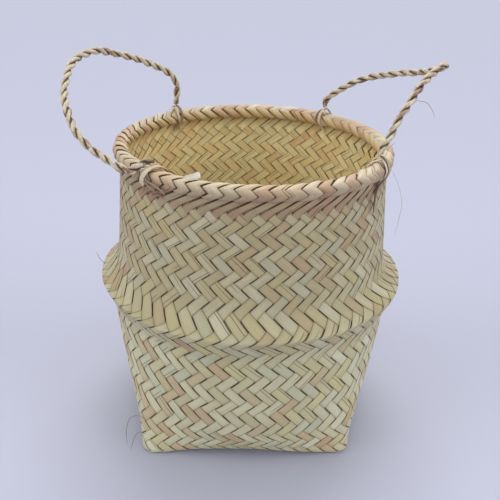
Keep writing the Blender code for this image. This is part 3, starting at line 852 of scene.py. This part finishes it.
def buildRimTree():
    tree, start, given = newTree("rimRoll", {
        "Elements": "Int", "Radius": "Float", "Height": "Float", "Tube": "Float",
        "Puff": "Float", "Meet": "Float", "Seed": "Int", "Leaf": "Material"})
    whole, strip, across, run, through = manyBars(start, given["Elements"], 9, 59)
    turn = fold["from"] - (run + 0.5) * fold["sweep"]
    reach, shift = fold["outside"]
    outside = turn.above(fold["bend"]).below(reach) * (shift / reach)
    begin, reach, shift = fold["tuck"]
    tucked = turn.above(begin) * (shift / reach)
    reach, shift = fold["crown"]
    crown = (fold["bend"] - turn).above(0.0).below(reach) * (shift / reach)
    begin, reach, shift = fold["inside"]
    inside = (begin - turn).above(0.0) * (shift / reach)
    jitter = start.chance(strip, -0.05, 0.05, given["Seed"])
    wide = start.chance(strip, 0.94, 1.06, given["Seed"] + 1)
    bulge = start.chance(strip, 0.75, 1.25, given["Seed"] + 2)
    slant = start.chance(strip, 0.15, 0.5, given["Seed"] + 3)
    wave = start.noise(start.point(strip * 3.1, turn * 0.012, across * 0.5), 1.0) - 0.5
    path = outside - tucked + crown - inside
    column = strip + given["Meet"] + path + across * 0.5 * wide + jitter + wave * 0.12
    angle = (column / given["Elements"]) * math.tau + math.radians(wall["startAngle"])
    domed = (1.0 - abs(across) ** 2.6)
    lift = given["Puff"] * bulge * domed + slant * across * given["Puff"] + wave * given["Puff"] * 0.5
    out = given["Tube"] - given["Puff"] * 0.9 + lift + through * fold["leaf"]
    tilt = turn * (math.pi / 180)
    away = given["Radius"] + out * start.math("SINE", tilt)
    place = start.point(away * start.math("COSINE", angle), away * start.math("SINE", angle),
                        given["Height"] + out * start.math("COSINE", tilt))
    tone = start.chance(strip, 0.0, 1.0, given["Seed"] + 4)
    whole = start.kept(whole, "leaf", start.point(across, turn * 0.000115, tone))
    # painted shade down the roll's outer side and underside
    shaded = turn.ease(20.0, 110.0, 1.0, 0.2)
    indoors = turn.ease(-80.0, -35.0, -1.0, 1.0)
    # painted shadow in the seam: dark where the fold leans right over its neighbour, faint where it leans
    # back
    leaning = 1.0 - turn.ease(38.0, 50.0, 0.0, 2.0) + turn.ease(86.0, 98.0, 0.0, 2.0)
    whole = start.kept(whole, "lay", start.point(shaded, indoors, across * leaning))
    laid = start.make("GeometryNodeSetPosition", None, {"Geometry": whole, "Position": place})
    # a plain ring closes the roll under the folds
    ring = start.make("GeometryNodeCurvePrimitiveCircle", None, {
        "Resolution": 180, "Radius": given["Radius"]})
    section = start.make("GeometryNodeCurvePrimitiveCircle", None, {
        "Resolution": 16, "Radius": given["Tube"] - given["Puff"] * 1.5})
    core = start.make("GeometryNodeCurveToMesh", None, {"Curve": ring, "Profile Curve": section})
    core = start.make("GeometryNodeTransform", None, {
        "Geometry": core, "Translation": start.point(0.0, 0.0, given["Height"])})
    both = start.make("GeometryNodeJoinGeometry", None, {"Geometry": laid})
    tree.links.new(core.socket, both.socket.node.inputs["Geometry"])
    return endTree(tree, start, both, given["Leaf"])


def buildRim():
    mesh = grow(buildRimTree(), bpy.data.meshes.new("rimBase"), rim)
    addPiece("rimRoll", mesh, "basket", ("rim_roll",))
    print("rim rolled")


buildRim()


# Hitches: each rope end is untwisted and its strands are led over the rim and tucked away

def buildStrandTree():
    tree, start, given = newTree("strands", {"Leaf": "Material"})
    line = start.make("GeometryNodeMeshToCurve", None, {"Mesh": given["Geometry"]})
    facing = start.read("outward")
    tangent = start.make("GeometryNodeInputTangent")
    side = start.vector("CROSS_PRODUCT", {0: tangent, 1: facing})
    line = start.kept(line, "beside", start.vector("NORMALIZE", {0: side}))
    line = start.kept(line, "centre", start.here())
    length = start.make("GeometryNodeSplineParameter", output="Length")
    line = start.kept(line, "along", length, "FLOAT")
    section = start.make("GeometryNodeCurvePrimitiveCircle", None, {
        "Resolution": 12, "Radius": 0.0001})
    section = start.kept(section, "around", start.make("GeometryNodeSplineParameter"), "FLOAT")
    tube = start.make("GeometryNodeCurveToMesh", None, {
        "Curve": line, "Profile Curve": section, "Fill Caps": True})
    turn = start.read("around", "FLOAT") * math.tau
    width, thick, tone = start.read("size").split()
    along = start.read("along", "FLOAT")
    across = start.math("COSINE", turn)
    ridge = start.noise(start.point(across * 2.0, along * 300.0, tone * 40.0)) - 0.5
    height = start.math("SINE", turn) * (0.5 + ridge * 0.5)
    place = start.read("centre").shifted(start.read("beside").scaled(across * width * 0.5))
    place = place.shifted(start.read("outward").scaled(height * thick))
    tube = start.kept(tube, "leaf", start.point(across, along, tone))
    tube = start.kept(tube, "lay", start.point(1.0, 1.0, tone))
    tube = start.make("GeometryNodeSetPosition", None, {"Geometry": tube, "Position": place})
    return endTree(tree, start, tube, given["Leaf"])


strandTree = buildStrandTree()


def strandMesh(strands):
    # each strand is (points, outward directions, width, thickness, tone, taper)
    places, edges, outward, sizes = [], [], [], []
    for points, facing, width, thick, tone, taper in strands:
        first = len(places)
        for index, (point, way) in enumerate(zip(points, facing)):
            share = index / (len(points) - 1)
            slim = min(1, 0.35 + share * 8, 0.35 + (1 - share) * taper)
            places.append(point)
            outward.append(way)
            sizes.append((width * slim, thick * slim, tone))
        edges += [(at, at + 1) for at in range(first, len(places) - 1)]
    mesh = bpy.data.meshes.new("strands")
    mesh.from_pydata([tuple(place) for place in places], edges, [])
    keepVectors(mesh, "outward", outward)
    keepVectors(mesh, "size", sizes)
    return mesh


strandPoints = 40             # points along one strand of a hitch


def rimStrand(degrees, strand):
    # a strand given in millimetres out, up and along from the middle of the rim roll
    angle = math.radians(degrees)
    out = Vector((math.cos(angle), math.sin(angle), 0))
    along = Vector((-math.sin(angle), math.cos(angle), 0))
    middle = out * rollRadius + Vector((0, 0, rollHeight))
    width, thick, tone, taper, route = strand
    points, facing = [], []
    for x, z, y in smoothRoute([Vector(point) for point in route], strandPoints):
        points.append(middle + (out * x + along * y + Vector((0, 0, z))) / 1000)
        facing.append((out * x + Vector((0, 0, max(z, -0.4 * abs(x))))).normalized())
    return points, facing, width / 1000, thick / 1000, tone, taper


# hitch: where it is on the rim, the nodes that it stands for, and its strands;
# strand: width, thickness, tone, taper, then points out, up and along, all in millimetres
hitches = {
    "leftFrontHitch": (229, ("left_front_hitch", "left_front_tail"), (
        (5.0, 1.4, 0.3, 5, ((7.6, -6.5, -6), (9.4, 0, -4.5), (7.6, 6, -2), (1.8, 9.8, 1),
            (-3.5, 8.8, 4), (-7.6, 5.2, 6.5), (-9.8, 4.2, 9))),
        (2.2, 1.4, 0.02, 5, ((8.8, 2.6, -4), (9.4, 0, 1), (9, -1.8, 7), (8.3, -3.5, 13),
            (6.4, -7.5, 18))),
        (2.2, 1.4, 0.3, 5, ((1, 11.6, -1), (-4, 9.4, -0.5), (-7.8, 3.5, 0), (-8.2, -1.5, 1),
            (-5, -6.5, 2))),
        (1.7, 1.3, 0.12, 5, ((9.2, 1, -5), (8.8, -2.5, -1), (7.2, -6, 3), (4.6, -10, 8),
            (3.6, -13, 13))),
        (1.4, 1.2, 0.04, 5, ((8.3, -4, 14), (6.6, -7.5, 10), (4.4, -10.5, 5), (3.4, -13.5, 0))),
        (1.6, 1.2, 0.2, 5, ((9.2, 0.5, -5), (8, -4, -5.5), (5.6, -8.5, -7), (3.6, -14, -10))),
    )),
    "leftBackHitch": (132, ("left_back_hitch", "left_back_tail"), (
        (2.4, 1.5, 0.15, 5, ((0, 12.6, 0), (-3.5, 9.5, -1), (-7.5, 4, -2), (-8, -1, -1),
            (-5.2, -6, 1), (-2.4, -9.5, 2.5), (-2.2, -14, 3))),
        (2.2, 1.4, 0.3, 5, ((0, 12.4, 1), (-4, 9, 2.5), (-7.8, 3.5, 3), (-8.1, -1, 2),
            (-5, -6.3, 0), (-2.5, -10, -2), (-2.2, -16, -3.5))),
        (3.4, 1.2, 0.5, 5, ((0, 12, -0.5), (4, 9, -1.5), (7.8, 3.5, -2), (8.2, -1, -1.5),
            (6, -6, 0), (3.5, -9, 1.5))),
        (2.6, 1.6, 0.42, 9, ((1, 8.2, 0.5), (-1, 9.8, 3), (-1.5, 9.6, 6.5), (-0.5, 9.4, 9.5))),
        (3.0, 1.6, 0.2, 4, ((-4.5, 7.5, -3), (-2, 10.5, -1.5), (1.5, 10.8, 0.5), (4.5, 8, 3))),
    )),
    "rightBackHitch": (53, ("right_back_hitch", "right_back_tail"), (
        (2.6, 1.5, 0.45, 5, ((0, 12.6, 0), (-4, 9, 1), (-7.8, 3.5, 1.5), (-8.1, -1.5, 1),
            (-5.2, -6, -0.5), (-2.4, -10, -1), (-2.2, -15, -1))),
        (3.0, 1.2, 0.5, 5, ((0, 12.4, -1), (4, 9, -2), (7.8, 3.5, -2.5), (8.2, -1, -2),
            (6, -6, -1), (3.5, -9, 0))),
        (1.8, 1.2, 0.1, 5, ((-1, 11, 1.5), (-5, 8, 4), (-8.2, 2, 5), (-6.5, -5, 4.5))),
        (2.4, 1.4, 0.3, 4, ((-5, 7, -3), (-2, 9.8, -1.5), (2, 10, 0.5), (5, 7.5, 3))),
    )),
    "rightFrontHitch": (332, ("right_front_hitch", "right_front_tail"), (
        (3.8, 1.1, 0.5, 5, ((-6.5, -4.5, -6), (-7.8, 2, -5), (-4, 7.2, -3.5), (1, 8.4, -2),
            (6, 5.8, -0.5), (8.4, -0.5, 0.5), (6.5, -6, 1))),
        (3.2, 1.2, 0.42, 5, ((-7.2, 3.5, 3), (-4.5, 8, 2), (0, 10.5, 0), (5, 8.2, -2.5),
            (8.5, 2, -4.5), (7.6, -4, -6), (4.5, -8.5, -7.5))),
        (2.8, 1.6, 0.0, 5, ((0, 12.4, 0), (4.5, 9.4, -1), (8.8, 2.5, -3), (8, -4, -6),
            (4.8, -9.5, -9), (3.6, -16, -12), (4.2, -24, -15), (4.8, -31, -17))),
        (3.2, 1.3, 0.22, 5, ((2, 11.5, 2), (6.5, 7.5, 1.5), (9, 1.5, -0.5), (7.6, -5, -3.5),
            (4.4, -11, -6.5), (3.6, -18, -9.5))),
        (2.2, 1.4, 0.62, 5, ((0, 12.5, 0.5), (-4, 9.5, 1.5), (-8, 3, 2), (-8.3, -2.5, 1),
            (-5, -7, 0), (-2.4, -10, -1))),
        (2.0, 1.3, 0.08, 5, ((1, 11, 1), (6, 8, 2), (8.9, 1, 1.5), (7, -6, -1), (4.4, -10, -3),
            (3.2, -17, -6))),
    )),
}


def buildHitches():
    for name, (degrees, nodes, strands) in hitches.items():
        base = strandMesh([rimStrand(degrees, strand) for strand in strands])
        mesh = grow(strandTree, base, {"Leaf": ropeLeaf})
        addPiece(name, mesh, "basket", nodes)
    print("rope ends tied to the rim")


buildHitches()


# Loose ends: a leaf end that stands up from the rim and a few stray fibres, in millimetres

looseLeaf = {
    "width": 4.8, "thick": 0.5, "taper": 60, "samples": 20, "facing": (-0.2, -0.9, 0.4),
    "routes": ((0.8, ((-52, -104, 268.5), (-48.6, -106, 270.8), (-44, -107, 272.6),
                      (-39.2, -107, 274.6))),),
}
fibre = {"width": 0.4, "thick": 0.2, "taper": 3, "samples": 24, "facing": (0.1, -1, 0.2)}
basketFibres = {
    **fibre,
    "routes": ((0.5, ((109, -56, 269), (114, -57, 262), (120, -58, 250), (124, -57, 236),
                      (123.5, -55, 220), (122, -52, 204))),
               (0.2, ((108, -45, 272), (111.5, -42, 279), (115.9, -40, 282.3))),
               (0.0, ((-91, -90, 30), (-97, -97, 40), (-104, -98, 37), (-108, -98, 24),
                      (-108, -97, 6))),
               (0.0, ((-88, -92, 12), (-96, -98, 22), (-101, -99, 16), (-105, -99, 1))),
               (0.05, ((-134, -20, 152), (-139, -20, 158), (-142, -20, 165)))),
}
ropeFibres = {
    **fibre,
    "routes": ((0.2, ((125.6, -35, 316.2), (130, -35, 316.7), (138.9, -35, 314.9),
                      (144.7, -35, 307.7), (146.7, -35, 302))),),
}


def buildLooseEnds(name, loose, body):
    strands = []
    for tone, route in loose["routes"]:
        points = [point / 1000
                  for point in smoothRoute([Vector(place) for place in route], loose["samples"])]
        facing = [Vector(loose["facing"]).normalized()] * len(points)
        strands.append((points, facing, loose["width"] / 1000, loose["thick"] / 1000, tone,
                        loose["taper"]))
    addPiece(name, grow(strandTree, strandMesh(strands), {"Leaf": ropeLeaf}), body)


buildLooseEnds("looseLeafEnd", looseLeaf, "basket")
buildLooseEnds("strayFibresBasket", basketFibres, "basket")
buildLooseEnds("strayFibresRope", ropeFibres, "right_handle")
print("loose ends laid")


# Floor, backdrop colour and lights

studio = {
    "floorSize": 20.0, "floorColour": paint(184, 186, 203), "floorRoughness": 0.8,
    "floorSheen": 0.1,
    "backColour": paint(205, 208, 227),
    "skyColour": (0.95, 0.96, 1.0, 1.0), "skyStrength": 0.58,
    # sun: strength, turn and spread in degrees; disc: power, size and height
    "suns": {"key": (1.35, (-30, 2, 0), 40), "fillFront": (0.3, (58, 0, 0), 45),
             "fillLeft": (0.9, (64, 0, -72), 50), "fillRight": (0.8, (64, 0, 72), 50)},
    "discs": {"top": (2.0, 0.8, 1.35), "mouth": (0.1, 0.19, 0.256)},
}


def buildFloor():
    side = studio["floorSize"]
    mesh = bpy.data.meshes.new("floor")
    corners = [(-side, -side, 0), (side, -side, 0), (side, side, 0), (-side, side, 0)]
    mesh.from_pydata(corners, [], [(0, 1, 2, 3)])
    floor = put("floor", mesh)
    material = bpy.data.materials.new("paleFloor")
    material.use_nodes = True
    shader = material.node_tree.nodes["Principled BSDF"]
    shader.inputs["Base Color"].default_value = studio["floorColour"]
    shader.inputs["Roughness"].default_value = studio["floorRoughness"]
    shader.inputs["Specular IOR Level"].default_value = studio["floorSheen"]
    mesh.materials.append(material)


def buildWorld():
    world = bpy.data.worlds.new("studio")
    bpy.context.scene.world = world
    world.use_nodes = True
    tree = world.node_tree
    tree.nodes.clear()
    start = Wire(tree)
    seen = start.make("ShaderNodeLightPath", output="Is Camera Ray")
    light = start.make("ShaderNodeBackground", None, {
        0: studio["skyColour"], 1: studio["skyStrength"]})
    back = start.make("ShaderNodeBackground", None, {0: studio["backColour"], 1: 1.0})
    mix = start.make("ShaderNodeMixShader", None, {0: seen, 1: light, 2: back})
    sink = tree.nodes.new("ShaderNodeOutputWorld")
    tree.links.new(mix.socket, sink.inputs["Surface"])


def buildLamps():
    for name, (strength, turn, spread) in studio["suns"].items():
        lamp = bpy.data.lights.new(name, "SUN")
        lamp.energy, lamp.angle = strength, math.radians(spread)
        put(name, lamp).rotation_euler = [math.radians(degrees) for degrees in turn]
    for name, (power, size, height) in studio["discs"].items():
        lamp = bpy.data.lights.new(name, "AREA")
        lamp.shape, lamp.size, lamp.energy = "DISK", size, power
        put(name, lamp).location = (0, 0, height)


buildFloor()
buildWorld()
buildLamps()
bpy.context.scene.view_settings.view_transform = "Standard"
print("studio set")
